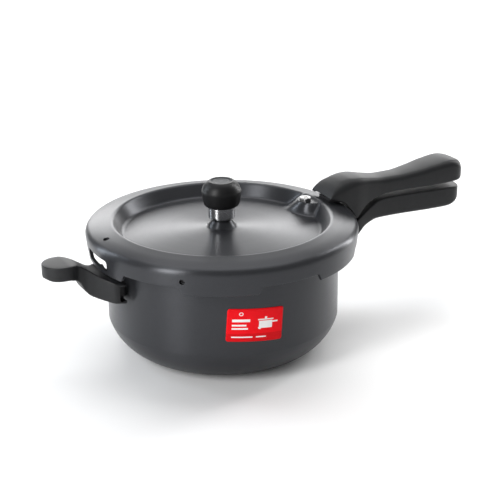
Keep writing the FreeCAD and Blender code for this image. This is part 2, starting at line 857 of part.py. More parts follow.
def build_weight():
    """The pressure weight: metal body, grip cap, needle and the clip it turns on."""
    bottom = of("weight_bottom")
    shoulder = of("weight_shoulder")
    clip_foot = of("clip_bottom")
    play = of("clip_play")
    clip_top = clip_foot + of("clip_height")
    body = turned("weight_turned", (
        (of("weight_bore"), bottom),
        (of("weight_radius"), bottom),
        (of("weight_radius"), shoulder),
        (of("weight_neck_radius"), shoulder),
        (of("weight_neck_radius"), of("weight_top")),
        (0, of("weight_top")),
        (0, of("pin_top")),
        (of("pin_radius"), of("pin_top")),
        (of("pin_radius"), of("weight_bore_top")),
        (of("weight_bore"), of("weight_bore_top")),
        (of("weight_bore"), clip_top + play),
        (of("clip_groove_radius"), clip_top + play),
        (of("clip_groove_radius"), clip_foot - play),
        (of("weight_bore"), clip_foot - play),
    ))
    piece("weight_body", cut("weight_notched", body, steam_notches()))
    piece("weight_cap", turned("weight_cap_turned", (
        (of("weight_neck_radius"), shoulder),
        (of("knob_foot_radius"), shoulder, of("knob_foot_arc")),
        (of("knob_low_radius"), of("knob_low_height"), of("knob_side_arc")),
        (of("knob_radius"), of("knob_radius_height"), of("knob_shoulder_arc")),
        (of("knob_top_radius"), of("knob_height")),
        (of("knob_dish_radius"), of("knob_height")),
        (of("knob_dish_radius") - 1, of("knob_height") - of("knob_dish_depth")),
        (0, of("knob_height") - of("knob_dish_depth")),
        (0, of("weight_top")),
        (of("weight_neck_radius"), of("weight_top")),
    )))
    piece("weight_needle", turned("weight_needle_turned", (
        (0, of("pin_tip")),
        (of("pin_tip_radius") * 0.4, of("pin_tip")),
        (of("pin_tip_radius"), of("pin_tip") + 2),
        (of("pin_tip_radius"), of("pin_shoulder")),
        (of("pin_radius"), of("pin_shoulder")),
        (of("pin_radius"), of("pin_top")),
        (0, of("pin_top")),
    )))
    ring = cylinder("clip_ring", of("clip_outer_radius"), of("clip_height"),
                    V(0, 0, clip_foot.value))
    eye = cylinder("clip_eye", of("clip_inner_radius"), 10, V(0, 0, clip_foot.value - 1))
    piece("weight_clip", cut("weight_clip_cut", ring, [eye]))


def steam_notches():
    """Small steam notches round the weight's lower edge."""
    half = of("notch_width") / 2
    notches = []
    for number in range(NOTCH_COUNT // 2):
        notch = block(f"notch_{number}", (-of("weight_radius") - 1, -half,
                                          of("weight_bottom") - 1),
                      (of("weight_radius") + 1, half,
                       of("weight_bottom") + of("notch_height")))
        angle = of("notch_angle").value + number * 360 / NOTCH_COUNT
        turn = FreeCAD.Rotation(Z_AXIS, angle)
        notch.Placement = FreeCAD.Placement(turn.multVec(notch.Placement.Base), turn)
        notches.append(notch)
    return notches


# --------------------------------------------------------------------- build
def check_and_write():
    """Stops on any failed object or bad shape, then writes one file per piece."""
    doc.recompute()
    for thing in doc.Objects:
        if "Invalid" in thing.State or "Error" in thing.State:
            raise RuntimeError(f"{thing.Name} failed: {thing.State}")
    for label, thing in nodes.items():
        shape = thing.Shape
        if shape.isNull() or not shape.isValid():
            raise RuntimeError(f"{label} has no valid shape")
        if len(shape.Solids) != 1:
            raise RuntimeError(f"{label} has {len(shape.Solids)} solids")
    os.makedirs("parts", exist_ok=True)
    for label, thing in nodes.items():
        thing.Shape.exportStep(f"parts/{label}.step")
        print(f"{label}: {thing.Shape.Volume / 1000:.2f} cm3")


build_pan()
build_gasket()
build_lid()
build_weight()
check_and_write()
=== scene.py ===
"""Outer-lid pressure pan: finished meshes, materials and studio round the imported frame."""
import bmesh
import bpy
from math import atan2, ceil, copysign, cos, hypot, pi, radians, sin, sqrt
from mathutils import Matrix, Quaternion, Vector


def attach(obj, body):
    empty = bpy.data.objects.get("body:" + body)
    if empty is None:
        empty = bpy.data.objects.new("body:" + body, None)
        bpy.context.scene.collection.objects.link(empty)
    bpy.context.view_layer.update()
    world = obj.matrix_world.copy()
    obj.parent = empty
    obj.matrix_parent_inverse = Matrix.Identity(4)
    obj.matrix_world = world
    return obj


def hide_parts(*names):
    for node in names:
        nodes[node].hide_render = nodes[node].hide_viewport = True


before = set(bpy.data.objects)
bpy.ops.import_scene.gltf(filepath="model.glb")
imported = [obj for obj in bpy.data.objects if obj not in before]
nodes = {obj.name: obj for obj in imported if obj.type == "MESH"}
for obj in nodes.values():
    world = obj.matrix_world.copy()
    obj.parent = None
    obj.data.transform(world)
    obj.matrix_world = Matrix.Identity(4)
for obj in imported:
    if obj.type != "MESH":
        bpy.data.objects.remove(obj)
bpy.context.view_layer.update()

MM = 0.001
TURN = 2 * pi
ROUND_STEPS = 720
CORNER_STEPS = 6
SHARP_ANGLE = radians(38)


# ------------------------------------------------------------------ shader kit
class Wire:
    """A shader socket that takes part in Python arithmetic on numbers."""

    def __init__(self, finish, socket):
        self.finish = finish
        self.socket = socket

    def _math(self, operation, *values):
        return self.finish.node("ShaderNodeMath", {"operation": operation}, *values)

    def __add__(self, other):
        return self._math("ADD", self, other)

    def __radd__(self, other):
        return self._math("ADD", other, self)

    def __sub__(self, other):
        return self._math("SUBTRACT", self, other)

    def __rsub__(self, other):
        return self._math("SUBTRACT", other, self)

    def __mul__(self, other):
        return self._math("MULTIPLY", self, other)

    def __rmul__(self, other):
        return self._math("MULTIPLY", other, self)

    def __truediv__(self, other):
        return self._math("DIVIDE", self, other)

    def __abs__(self):
        return self._math("ABSOLUTE", self)

    def __pow__(self, other):
        return self._math("POWER", self, other)

    def least(self, other):
        return self._math("MINIMUM", self, other)

    def most(self, other):
        return self._math("MAXIMUM", self, other)

    def clamped(self):
        return self.finish.node("ShaderNodeMath", {"operation": "ADD", "use_clamp": True},
                                self, 0.0)

    def below(self, edge, blur):
        """1 where this is under edge, 0 over it, soft across blur."""
        return ((edge - self) / blur + 0.5).clamped()


class Finish:
    """One material and the nodes that it is made of."""

    def __init__(self, name, **sockets):
        self.material = bpy.data.materials.new(name)
        self.material.use_nodes = True
        self.tree = self.material.node_tree
        self.tree.nodes.clear()
        self.shader = self.tree.nodes.new("ShaderNodeBsdfPrincipled")
        output = self.tree.nodes.new("ShaderNodeOutputMaterial")
        self.tree.links.new(self.shader.outputs["BSDF"], output.inputs["Surface"])
        self.set(**sockets)

    def node(self, kind, settings=None, *values, out=0, sockets=None):
        """Any node: its type, its settings, then its sockets' values or links."""
        made = self.tree.nodes.new(kind)
        for key, setting in (settings or {}).items():
            if key == "stops":
                self._stops(made.color_ramp, setting)
            else:
                setattr(made, key, setting)
        for index, value in enumerate(values):
            self._fill(made.inputs[index], value)
        for key, value in (sockets or {}).items():
            self._fill(made.inputs[key], value)
        return Wire(self, made.outputs[out])

    def _fill(self, socket, value):
        if isinstance(value, Wire):
            self.tree.links.new(value.socket, socket)
        elif socket.type == "RGBA" and len(value) == 3:
            socket.default_value = (*value, 1.0)
        else:
            socket.default_value = value

    @staticmethod
    def _stops(ramp, stops):
        while len(ramp.elements) < len(stops):
            ramp.elements.new(1.0)
        for element, (place, colour) in zip(ramp.elements, stops):
            element.position = place
            element.color = (*colour, 1.0)

    def place(self):
        return self.node("ShaderNodeTexCoord", out="Object")

    def parts(self, vector):
        """The three numbers of a vector."""
        return [self.node("ShaderNodeSeparateXYZ", {}, vector, out=index)
                for index in range(3)]

    def joined(self, x, y, z):
        return self.node("ShaderNodeCombineXYZ", {}, x, y, z)

    def noise(self, scale, detail=3.0, roughness=0.5, vector=None):
        return self.node("ShaderNodeTexNoise", sockets={
            "Vector": vector or self.place(), "Scale": scale, "Detail": detail,
            "Roughness": roughness})

    def mix(self, factor, first, second):
        return self.node("ShaderNodeMix", {"data_type": "RGBA"}, out=2,
                         sockets={0: factor, 6: first, 7: second})

    def bump(self, height, strength, distance, normal=None):
        sockets = {"Height": height, "Strength": strength, "Distance": distance}
        if normal:
            sockets["Normal"] = normal
        return self.node("ShaderNodeBump", sockets=sockets)

    def set(self, **sockets):
        for key, value in sockets.items():
            self._fill(self.shader.inputs[key.replace("_", " ")], value)
        return self


# ---------------------------------------------------------------- mesh helpers
def corner_arc(before, corner, after, radius):
    """The points of a rounded corner between two straight edges."""
    to_before = (before - corner).normalized()
    to_after = (after - corner).normalized()
    half = to_before.angle(to_after) / 2
    room = 0.49 * min((before - corner).length, (after - corner).length)
    reach = min(radius / max(sin(half) / cos(half), 1e-6), room)
    radius = reach * sin(half) / cos(half)
    centre = corner + (to_before + to_after).normalized() * (radius / sin(half))
    start = corner + to_before * reach - centre
    end = corner + to_after * reach - centre
    swing = start.angle_signed(end)
    points = []
    for step in range(CORNER_STEPS + 1):
        angle = -swing * step / CORNER_STEPS
        turned = Vector((start.x * cos(angle) - start.y * sin(angle),
                         start.x * sin(angle) + start.y * cos(angle)))
        points.append(centre + turned)
    return points


def rounded(corners, closed=True):
    """A profile from (across, up, corner radius) entries, in the same units."""
    places = [Vector(entry[:2]) for entry in corners]
    count = len(places)
    profile = []
    for index, entry in enumerate(corners):
        radius = entry[2] if len(entry) > 2 else 0
        inner = closed or 0 < index < count - 1
        if radius and inner:
            profile += corner_arc(places[index - 1], places[index],
                                  places[(index + 1) % count], radius)
        else:
            profile.append(places[index])
    return [(point.x, point.y) for point in profile]


def arc(start, end, radius, steps):
    """Points after start up to end; a positive radius bulges right of the run."""
    first = Vector(start)
    chord = Vector(end) - first
    half = chord.length / 2
    right = Vector((chord.y, -chord.x)).normalized()
    depth = sqrt(radius * radius - half * half)
    side = copysign(1, radius)
    centre = first + chord / 2 - right * side * depth
    spoke = first - centre
    swing = 2 * atan2(half, depth) * side
    points = []
    for step in range(1, steps + 1):
        angle = swing * step / steps
        points.append((centre.x + spoke.x * cos(angle) - spoke.y * sin(angle),
                       centre.y + spoke.x * sin(angle) + spoke.y * cos(angle)))
    return points


def smooth_line(points):
    """A smooth height along x through (x, height) points, with no overshoot."""
    xs = [point[0] for point in points]
    ys = [point[1] for point in points]
    slopes = [(ys[i + 1] - ys[i]) / (xs[i + 1] - xs[i]) for i in range(len(xs) - 1)]
    tangents = [slopes[0]]
    for before, after in zip(slopes, slopes[1:]):
        tangents.append(0 if before * after <= 0 else 2 * before * after / (before + after))
    tangents.append(slopes[-1])

    def height(x):
        x = min(max(x, xs[0]), xs[-1])
        i = min(sum(1 for edge in xs[1:-1] if x >= edge), len(xs) - 2)
        span = xs[i + 1] - xs[i]
        part = (x - xs[i]) / span
        rise = part * part * (3 - 2 * part)
        return (ys[i] + (ys[i + 1] - ys[i]) * rise
                + span * tangents[i] * part * (1 - part) ** 2
                - span * tangents[i + 1] * part * part * (1 - part))
    return height


def ease(value, low, high):
    part = min(max((value - low) / (high - low), 0.0), 1.0)
    return part * part * (3 - 2 * part)


def soft_most(first, second, blur):
    """The larger of two heights, blended where they are close."""
    gap = max(blur - abs(first - second), 0.0) / blur
    return max(first, second) + gap * gap * blur / 4


def new_object(name, points, faces, uvs=None):
    """A mesh object from points in millimetres."""
    mesh = bpy.data.meshes.new(name)
    mesh.from_pydata([tuple(value * MM for value in point) for point in points], [], faces)
    if uvs:
        layer = mesh.uv_layers.new(name="flat")
        for loop in mesh.loops:
            layer.data[loop.index].uv = uvs[loop.vertex_index]
    made = bpy.data.objects.new(name, mesh)
    bpy.context.scene.collection.objects.link(made)
    tidy(made)
    return made


def tidy(made):
    """Welds the mesh, turns its faces outward and shades it smooth."""
    grid = bmesh.new()
    grid.from_mesh(made.data)
    bmesh.ops.remove_doubles(grid, verts=grid.verts, dist=1e-6)
    bmesh.ops.dissolve_degenerate(grid, edges=grid.edges, dist=1e-7)
    bmesh.ops.recalc_face_normals(grid, faces=grid.faces)
    grid.to_mesh(made.data)
    grid.free()
    made.data.polygons.foreach_set("use_smooth", [True] * len(made.data.polygons))
    made.data.set_sharp_from_angle(angle=SHARP_ANGLE)
    made.data.update()


def applied(made):
    """Replaces an object's mesh by what its modifiers make of it."""
    shown = made.evaluated_get(bpy.context.evaluated_depsgraph_get())
    mesh = bpy.data.meshes.new_from_object(shown)
    made.modifiers.clear()
    made.data = mesh
    return made


def combined(made, tool, operation):
    """A boolean of made with tool, which is used up."""
    step = made.modifiers.new(operation.lower(), "BOOLEAN")
    step.operation = operation
    step.object = tool
    step.solver = "EXACT"
    applied(made)
    bpy.data.objects.remove(tool)
    tidy(made)
    return made


def joined(name, parts):
    """Several separate meshes as one object."""
    grid = bmesh.new()
    for part in parts:
        grid.from_mesh(part.data)
        bpy.data.objects.remove(part)
    mesh = bpy.data.meshes.new(name)
    grid.to_mesh(mesh)
    grid.free()
    made = bpy.data.objects.new(name, mesh)
    bpy.context.scene.collection.objects.link(made)
    tidy(made)
    return made


def skinned(name, rings, closed_ends=False):
    """Quads between rings of as many points; ends are closed by a fan if asked."""
    size = len(rings[0])
    points = [point for ring in rings for point in ring]
    faces = []
    for row in range(len(rings) - 1):
        for column in range(size):
            after = (column + 1) % size
            low = row * size
            faces.append((low + column, low + after, low + size + after,
                          low + size + column))
    if closed_ends:
        for row in (0, len(rings) - 1):
            middle = [sum(axis) / size for axis in zip(*rings[row])]
            points.append(tuple(middle))
            hub = len(points) - 1
            for column in range(size):
                faces.append((hub, row * size + column, row * size + (column + 1) % size))
    return new_object(name, points, faces)


def lathe(name, profile, steps=ROUND_STEPS):
    """A closed profile of (radius, height) turned round the Z axis."""
    size = len(profile)
    points = []
    faces = []
    for step in range(steps):
        angle = TURN * step / steps
        for radius, height in profile:
            points.append((radius * cos(angle), radius * sin(angle), height))
        low = step * size
        high = (step + 1) % steps * size
        for column in range(size):
            after = (column + 1) % size
            faces.append((low + column, high + column, high + after, low + after))
    return new_object(name, points, faces)


def sector(name, inner, outer, bottom, top, middle, sweep, ease_radius=0.6):
    """A bar bent round Z between two radii, with eased edges."""
    profile = rounded([(inner, bottom, ease_radius), (outer, bottom, ease_radius),
                       (outer, top, ease_radius), (inner, top, ease_radius)])
    steps = max(4, ceil(sweep))
    rings = []
    for step in range(steps + 1):
        angle = radians(middle - sweep / 2 + sweep * step / steps)
        rings.append([(r * cos(angle), r * sin(angle), z) for r, z in profile])
    return skinned(name, rings, closed_ends=True)


def stock(name, centre, size, round_radius, turn=0.0, axis="Z", steps=8):
    """A closed bar with a rounded-rectangle section, extruded along one axis."""
    half = [value / 2 for value in size]
    order = {"X": (1, 2, 0), "Y": (0, 2, 1), "Z": (0, 1, 2)}[axis]
    outline = []
    for across, up, start in ((1, 1, 0), (-1, 1, 1), (-1, -1, 2), (1, -1, 3)):
        for step in range(steps + 1):
            angle = (start + step / steps) * pi / 2
            outline.append((across * (half[order[0]] - round_radius)
                            + round_radius * cos(angle),
                            up * (half[order[1]] - round_radius)
                            + round_radius * sin(angle)))
    rings = []
    spin = Matrix.Rotation(turn, 3, "Z")
    for end in (-1, 1):
        ring = []
        for across, up in outline:
            place = Vector((0, 0, 0))
            place[order[0]] = across
            place[order[1]] = up
            place[order[2]] = end * half[order[2]]
            ring.append(tuple(spin @ (place + Vector(centre))))
        rings.append(ring)
    return skinned(name, rings, closed_ends=True)


def finish_piece(made, body, slot, finish, *replaced):
    """Gives a finished mesh its material and its body, and hides the nodes it stands for."""
    made.data.materials.clear()
    made.data.materials.append(finish.material)
    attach(made, body)
    if replaced:
        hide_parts(*replaced)
    return made


# ------------------------------------------------------------------ dimensions
# Lid and pan, in millimetres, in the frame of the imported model.
PAN_RADIUS = 100.8
WALL = 3.0
BASE_RADIUS = 67.0
CREASE_HEIGHT = 31.8
BASE_ARC = 44.0
RIM_HEIGHT = 101.0
FLANGE = (94.4, 97.8)
TAB_SWEEP = 27.0
HOOK_SWEEP = 24.0
LUG_MIDDLES = [3.25 + 60.0 * number for number in range(6)]
HOOKED = [middle for middle in LUG_MIDDLES if abs(middle - 183.25) > 1]
LUG_HALF = 15.0
LUG_SLOPE = 2.2
LUG_FOOT = 90.5
GAP_FOOT = 97.0
SKIRT_TOP = 106.5
SKIRT_LEAN = (118.2 - 115.8) / (112.6 - 90.5)
PANEL_CROWN = 3.4
PANEL_EDGE = 86.0
LAND_CENTRE = (92.5, 5.6)
LAND_RADIUS = 13.0
LAND_HEIGHT = 116.6
LAND_STEEP = 2.1
LAND_GENTLE = 0.9
PLUG_PLACE = (84.72, 3.7)
PLUG_PLACE_M = tuple(value * MM for value in PLUG_PLACE)
LABEL_LEAN = radians(-4.0)
LAND_BLUR = 4.5


# ------------------------------------------------------------------ lid shell
def land_height(x, y, radius, height):
    """The pressed land for the safety plug: steep in front, a long slope behind."""
    across = x - LAND_CENTRE[0]
    along = y - LAND_CENTRE[1]
    reach = hypot(across, along)
    if reach <= radius:
        return height
    behind = ease((-0.3 * across + 0.95 * along) / reach, -0.1, 0.9)
    slope = LAND_STEEP + (LAND_GENTLE - LAND_STEEP) * behind
    return height - slope * (reach - radius)


def lug_foot(angle):
    """The height of the skirt's lower edge at an angle in degrees."""
    nearest = min(abs((angle - middle + 180) % 360 - 180) for middle in LUG_MIDDLES)
    return LUG_FOOT + (GAP_FOOT - LUG_FOOT) * ease(nearest, LUG_HALF, LUG_HALF + LUG_SLOPE)


def crown(radius):
    """How far the sunk panel rises above its rim at a radius."""
    return PANEL_CROWN * (1 - min(radius / PANEL_EDGE, 1.0) ** 2)


def lid_profile():
    """The lid's wall in section: the underside first, then the top; (r, z, is_top)."""
    middle = [10.0, 20.0, 30.0, 40.0, 50.0, 60.0, 68.0, 75.0]
    under = [(3.5, 103.0 + PANEL_CROWN)] + [(r, 103.0 + crown(r)) for r in middle]
    under += rounded([(75.0, 103.0 + crown(75.0)), (87.6, 103.0, 4.0), (95.5, 114.5, 2.0),
                      (105.5, 112.85, 60.0), (115.2, 110.2, 2.8), (112.8, 91.6, 0.5),
                      (113.2, 90.5, 0.4), (114.3, 90.5)], closed=False)[1:]
    top = rounded([(114.3, 90.5), (115.8, 90.5, 1.1), (118.2, 112.6, 5.8),
                   (106.3, 115.85, 60.0), (94.2, 117.8, 3.2), (PANEL_EDGE, 106.0, 3.6),
                   (75.0, 106.0 + crown(75.0))], closed=False)[1:]
    top += [(r, 106.0 + crown(r)) for r in reversed(middle[1:-1])]
    top += rounded([(20.0, 106.0 + crown(20.0)), (13.0, 106.0 + crown(13.0), 3.4),
                    (8.4, 115.2, 2.0), (3.5, 115.2)], closed=False)[1:]
    lower = [(r, z, False) for r, z in denser(under)]
    upper = [(r, z, True) for r, z in denser(top)]
    return lower + upper


def denser(points):
    """Closer points where the land rises and down the skirt, wider ones elsewhere."""
    out = []
    for before, after in zip(points, points[1:]):
        out.append(before)
        length = hypot(after[0] - before[0], after[1] - before[1])
        parts = 1
        if min(before[0], after[0]) < 98 and max(before[0], after[0]) > 62:
            parts = ceil(length / 0.9)
        elif length > 6:
            parts = ceil(length / 4)
        for step in range(1, parts):
            part = step / parts
            out.append((before[0] + (after[0] - before[0]) * part,
                        before[1] + (after[1] - before[1]) * part))
    out.append(points[-1])
    return out


def lid_shell_mesh():
    profile = [entry for entry in lid_profile() if entry[0] > 0]
    steps = 480
    size = len(profile)
    points = []
    faces = []
    for step in range(steps):
        angle = TURN * step / steps
        foot = lug_foot(degrees_of(angle))
        for radius, height, is_top in profile:
            if height < SKIRT_TOP and radius > 105:
                raised = foot + (height - LUG_FOOT) * (SKIRT_TOP - foot) / (SKIRT_TOP - LUG_FOOT)
                radius += (raised - height) * SKIRT_LEAN
                height = raised
            elif 60 < radius < 98:
                x = radius * cos(angle)
                y = radius * sin(angle)
                if is_top:
                    land = land_height(x, y, LAND_RADIUS, LAND_HEIGHT)
                else:
                    land = land_height(x, y, LAND_RADIUS - 1.2, LAND_HEIGHT - WALL)
                height = soft_most(height, land, LAND_BLUR)
            points.append((radius * cos(angle), radius * sin(angle), height))
        low = step * size
        high = (step + 1) % steps * size
        for column in range(size):
            after = (column + 1) % size
            faces.append((low + column, high + column, high + after, low + after))
    return new_object("lid_shell_finished", points, faces)


def degrees_of(angle):
    return angle * 360 / TURN


def lid_shell():
    shell = lid_shell_mesh()
    hooks = [sector(f"hook_{number}", 104.5, 114.4, 90.7, 93.7, middle, HOOK_SWEEP)
             for number, middle in enumerate(HOOKED)]
    combined(shell, joined("hooks", hooks), "UNION")
    cutters = [
        stock("window", (-116, 0, 98.8), (14, 38.8, 9.6), 3.2, axis="X"),
        stock("top_hole", (-107, 0, 114), (5.5, 5.5, 16), 2.74, axis="Z"),
        stock("skirt_hole", (116.5, 0, 102.5), (14, 4.7, 4.7), 2.34,
              turn=radians(-132), axis="X"),
    ]
    opened = combined(shell, joined("cutters", cutters), "DIFFERENCE")
    plug_hole = stock("plug_hole", (84.72, 3.7, 112), (6.0, 6.0, 20), 2.99, axis="Z")
    return combined(opened, plug_hole, "DIFFERENCE")


# ----------------------------------------------------------------------- pan
def pan_body():
    inside = PAN_RADIUS - WALL
    lower, upper = FLANGE
    outer = [(0.0, 0.5), (52.0, 0.5), (53.0, 0.0), (BASE_RADIUS, 0.0)]
    outer += arc((BASE_RADIUS, 0.0), (PAN_RADIUS, CREASE_HEIGHT), BASE_ARC, 28)
    rim = rounded([(PAN_RADIUS, CREASE_HEIGHT), (PAN_RADIUS, lower, 0.8), (105.0, lower, 1.2),
                   (105.0, upper, 1.2), (PAN_RADIUS, upper, 0.8),
                   (PAN_RADIUS, RIM_HEIGHT, 1.4), (inside, RIM_HEIGHT, 1.4),
                   (inside, CREASE_HEIGHT + 1)], closed=False)
    inner = arc((inside, CREASE_HEIGHT + 1), (BASE_RADIUS - 1, 3.5), -(BASE_ARC - WALL), 28)
    profile = outer + rim[1:] + inner + [(30.0, 3.5), (0.0, 3.5)]
    shell = lathe("pan_body_finished", profile, 480)
    tabs = [sector(f"tab_{number}", 103.0, 110.0, lower + 0.1, upper - 0.1, middle, TAB_SWEEP)
            for number, middle in enumerate(HOOKED)]
    return combined(shell, joined("tabs", tabs), "UNION")


# ------------------------------------------------------------------- handles
def bar_section(half, low, high, low_round, high_round, crown):
    """A closed (y, z) section: rounded corners and a crowned top."""
    height = high - low
    low_round = min(low_round, half * 0.98, height * 0.48)
    high_round = min(high_round, half * 0.98, height * 0.5)
    section = []
    corners = ((1, low, low_round, -pi / 2), (1, high, high_round, 0.0),
               (-1, high, high_round, pi / 2), (-1, low, low_round, pi))
    for side, level, radius, start in corners:
        middle_y = side * (half - radius)
        middle_z = level + radius if level == low else level - radius
        for step in range(9):
            angle = start + step * pi / 16
            section.append((middle_y + radius * cos(angle), middle_z + radius * sin(angle)))
    crowned = []
    for index, (y, z) in enumerate(section):
        lift = crown * (1 - (y / half) ** 2) if z > high - high_round - 1e-6 else 0.0
        crowned.append((y, z + lift))
        if index == 17:
            after = section[18]
            for step in range(1, 8):
                y_between = y + (after[0] - y) * step / 8
                crowned.append((y_between, high + crown * (1 - (y_between / half) ** 2)))
    return crowned


def loft(name, stations, section_at, place=None):
    """A bar skinned over the sections at each station along X."""
    rings = []
    for x in stations:
        ring = []
        for y, z in section_at(x):
            ring.append((place(x, y) if place else x, y, z))
        rings.append(ring)
    return skinned(name, rings, closed_ends=True)


def spread(start, end, pitch):
    count = max(1, ceil(abs(end - start) / pitch))
    return [start + (end - start) * step / count for step in range(count)]


def rounding_off(start, end, steps=14):
    """Stations that crowd together towards the end of a rounded tip."""
    return [start + (end - start) * sin(pi / 2 * step / steps) for step in range(steps + 1)]


def tip_factor(x, start, end, power=2.3):
    """How much of the full width is left towards a rounded tip."""
    if x <= start:
        return 1.0
    part = min((x - start) / (end - start), 0.9995)
    return (1 - part ** power) ** (1 / power)


LID_HANDLE_TOP = smooth_line([
    (99, 122), (103, 126.8), (108, 130.6), (116, 133.6), (124, 134.6), (131, 134.4),
    (144, 132), (160, 130), (174, 130), (193, 132), (212, 135.2), (228, 137),
    (237, 135.6), (243.5, 130.5)])
LID_HANDLE_LOW = smooth_line([
    (99, 120.5), (104, 119.2), (112.6, 115.9), (119.6, 109), (122.6, 105), (126, 99),
    (134, 106), (141, 111), (150, 114), (162, 116), (187, 117), (220, 117.6),
    (234, 118.2), (240, 119.6), (243.5, 122.0)])
HANDLE_HALF = smooth_line([
    (99, 16.6), (108, 17), (126, 16.6), (142, 13.6), (158, 12), (172, 12.4), (190, 14.2),
    (210, 16.2), (226, 16.9), (246.5, 17)])
LID_HANDLE_ROUND = smooth_line([
    (99, 9), (116, 8), (131, 5.4), (150, 4.2), (200, 4.4), (236, 5.4), (243.5, 6)])
HOOD_END = 112.0


def lid_handle():
    tip = 243.5

    def section(x):
        half = HANDLE_HALF(x) * tip_factor(x, 226, tip, 2.9)
        inset = 0.4 * (1 - ease(x, 98.6, 100.0))
        return bar_section(half - inset, LID_HANDLE_LOW(x) + inset * 0.4,
                           LID_HANDLE_TOP(x) - inset, 1.2, LID_HANDLE_ROUND(x), 0.9)

    stations = [99.0, 99.3, 100.0] + spread(101.0, 128, 1.2)
    stations += spread(128, 226, 2.5) + rounding_off(226, tip)
    handle = loft("lid_handle_finished", stations, section)

    def hollow(x):
        roof = LID_HANDLE_TOP(x) - 0.9 - 2.5 * ease(x, 99, 107)
        half = 15.0 - 1.8 * ease(x, 99, 112)
        return bar_section(half, 90.0, roof, 0.5, 7.5, 0.6)

    cavity = loft("hood_hollow", [97.0] + spread(98.5, HOOD_END, 1.0) + [HOOD_END], hollow)
    return combined(handle, cavity, "DIFFERENCE")


PAN_HANDLE_TOP = smooth_line([
    (100, 88.2), (119.5, 88.2), (122.5, 91), (127.5, 97), (136, 102), (144, 106.6),
    (154, 110.8), (170, 112), (228, 112.4), (240.5, 111.6)])
PAN_HANDLE_LOW = smooth_line([
    (100, 66.4), (110, 68), (118, 72.5), (129, 82), (139, 89.5), (152, 93), (172, 93.3),
    (224, 94.2), (233, 96.2), (240.5, 101.5)])


def hugging(radius):
    """Bends the root of a handle to a round wall, easing out to straight."""
    def place(x, y):
        reach = abs(x) - radius
        if reach > 14 or reach < -1:
            return x
        bend = radius - sqrt(radius * radius - y * y)
        return copysign(abs(x) - bend * (1 - ease(reach, 0, 14)), x)
    return place


def pan_handle():
    tip = 240.5

    def section(x):
        half = HANDLE_HALF(x) * tip_factor(x, 223, tip, 2.9)
        return bar_section(half, PAN_HANDLE_LOW(x), PAN_HANDLE_TOP(x), 4.0, 1.2, 0.3)

    stations = spread(104.9, 128, 1.5) + spread(128, 223, 2.5) + rounding_off(223, tip)
    return loft("pan_handle_finished", stations, section, hugging(104.9))


HELPER_TOP = smooth_line([
    (104.9, 83.2), (111, 85), (121, 90), (131, 97), (138, 101), (146, 102.5), (164, 102.5)])
HELPER_LOW = smooth_line([
    (104.9, 65.6), (115, 67.5), (126, 71.5), (131, 76.5), (135, 84), (140, 88), (147, 90),
    (158, 90.3), (164, 92.0)])
HELPER_HALF = smooth_line([
    (104.9, 27), (111.5, 26.6), (116, 20.5), (120, 16.4), (125, 12.6), (131, 10), (136, 9.8),
    (140.3, 12.2)])
DISC_CENTRE = 149.0
DISC_RADIUS = 15.0


def helper_handle():
    tip = DISC_CENTRE + DISC_RADIUS

    def section(x):
        reach = abs(x)
        if reach < 140.3:
            half = HELPER_HALF(reach)
        else:
            half = sqrt(max(DISC_RADIUS ** 2 - (reach - DISC_CENTRE) ** 2, 0.09))
        return bar_section(half, HELPER_LOW(reach), HELPER_TOP(reach), 2.6, 1.3, 0.3)

    stations = spread(104.9, 140.3, 1.2) + spread(140.3, 150, 1.2) + rounding_off(150, tip)
    handle = loft("helper_handle_finished", [-x for x in stations], section,
                  hugging(104.9))
    pockets = [stock(f"pocket_{side}", (-104.1, side * 31.0, 75.2), (6.4, 22.0, 13.6), 1.6,
                     axis="Y") for side in (-1, 1)]
    return combined(handle, joined("pockets", pockets), "DIFFERENCE")


# ------------------------------------------------------------ weight and plug
def weight_cap():
    """The grip cap: a shallow dish with a rim, sloped shoulders and tucked-in foot."""
    rim = rounded([(0.0, 149.3), (8.7, 149.3, 0.5), (9.4, 150.0, 0.4), (10.7, 150.0, 0.5),
                   (11.2, 149.65)], closed=False)
    side = arc((11.2, 149.65), (17.0, 141.0), -12.5, 14)
    side += arc((17.0, 141.0), (15.7, 130.8), -60.0, 10)
    side += arc((15.7, 130.8), (11.7, 127.2), -4.4, 10)
    inner = [(9.5, 127.2), (9.5, 144.0), (0.0, 144.0)]
    return lathe("weight_cap_finished", rim + side + inner, 144)


def weight_body():
    profile = rounded([(5.0, 117.0, 0.3), (11.5, 117.0, 0.9), (11.5, 127.2), (9.5, 127.2),
                       (9.5, 144.0), (2.4, 144.0), (2.4, 127.0), (5.0, 127.0)])
    body = lathe("weight_body_finished", profile, 144)
    notches = [stock(f"notch_{number}", (10.5, 0, 117.2), (5, 3.0, 3.0), 0.7,
                     turn=radians(-146 + 60 * number), axis="X") for number in range(6)]
    return combined(body, joined("notches", notches), "DIFFERENCE")


def hex_point(corner, angle):
    """A point on a hexagon's outline at an angle from its first corner."""
    local = (angle % (pi / 3)) - pi / 6
    radius = corner * cos(pi / 6) / cos(local)
    return radius * cos(angle), radius * sin(angle)


def hex_ring(corner, height, limit=1e3, steps=96):
    """One ring of points round a hexagon, drawn in to a round limit."""
    ring = []
    for step in range(steps):
        x, y = hex_point(corner, TURN * step / steps)
        scale = min(1.0, limit / hypot(x, y))
        ring.append((x * scale + PLUG_PLACE[0], y * scale + PLUG_PLACE[1], height))
    return ring


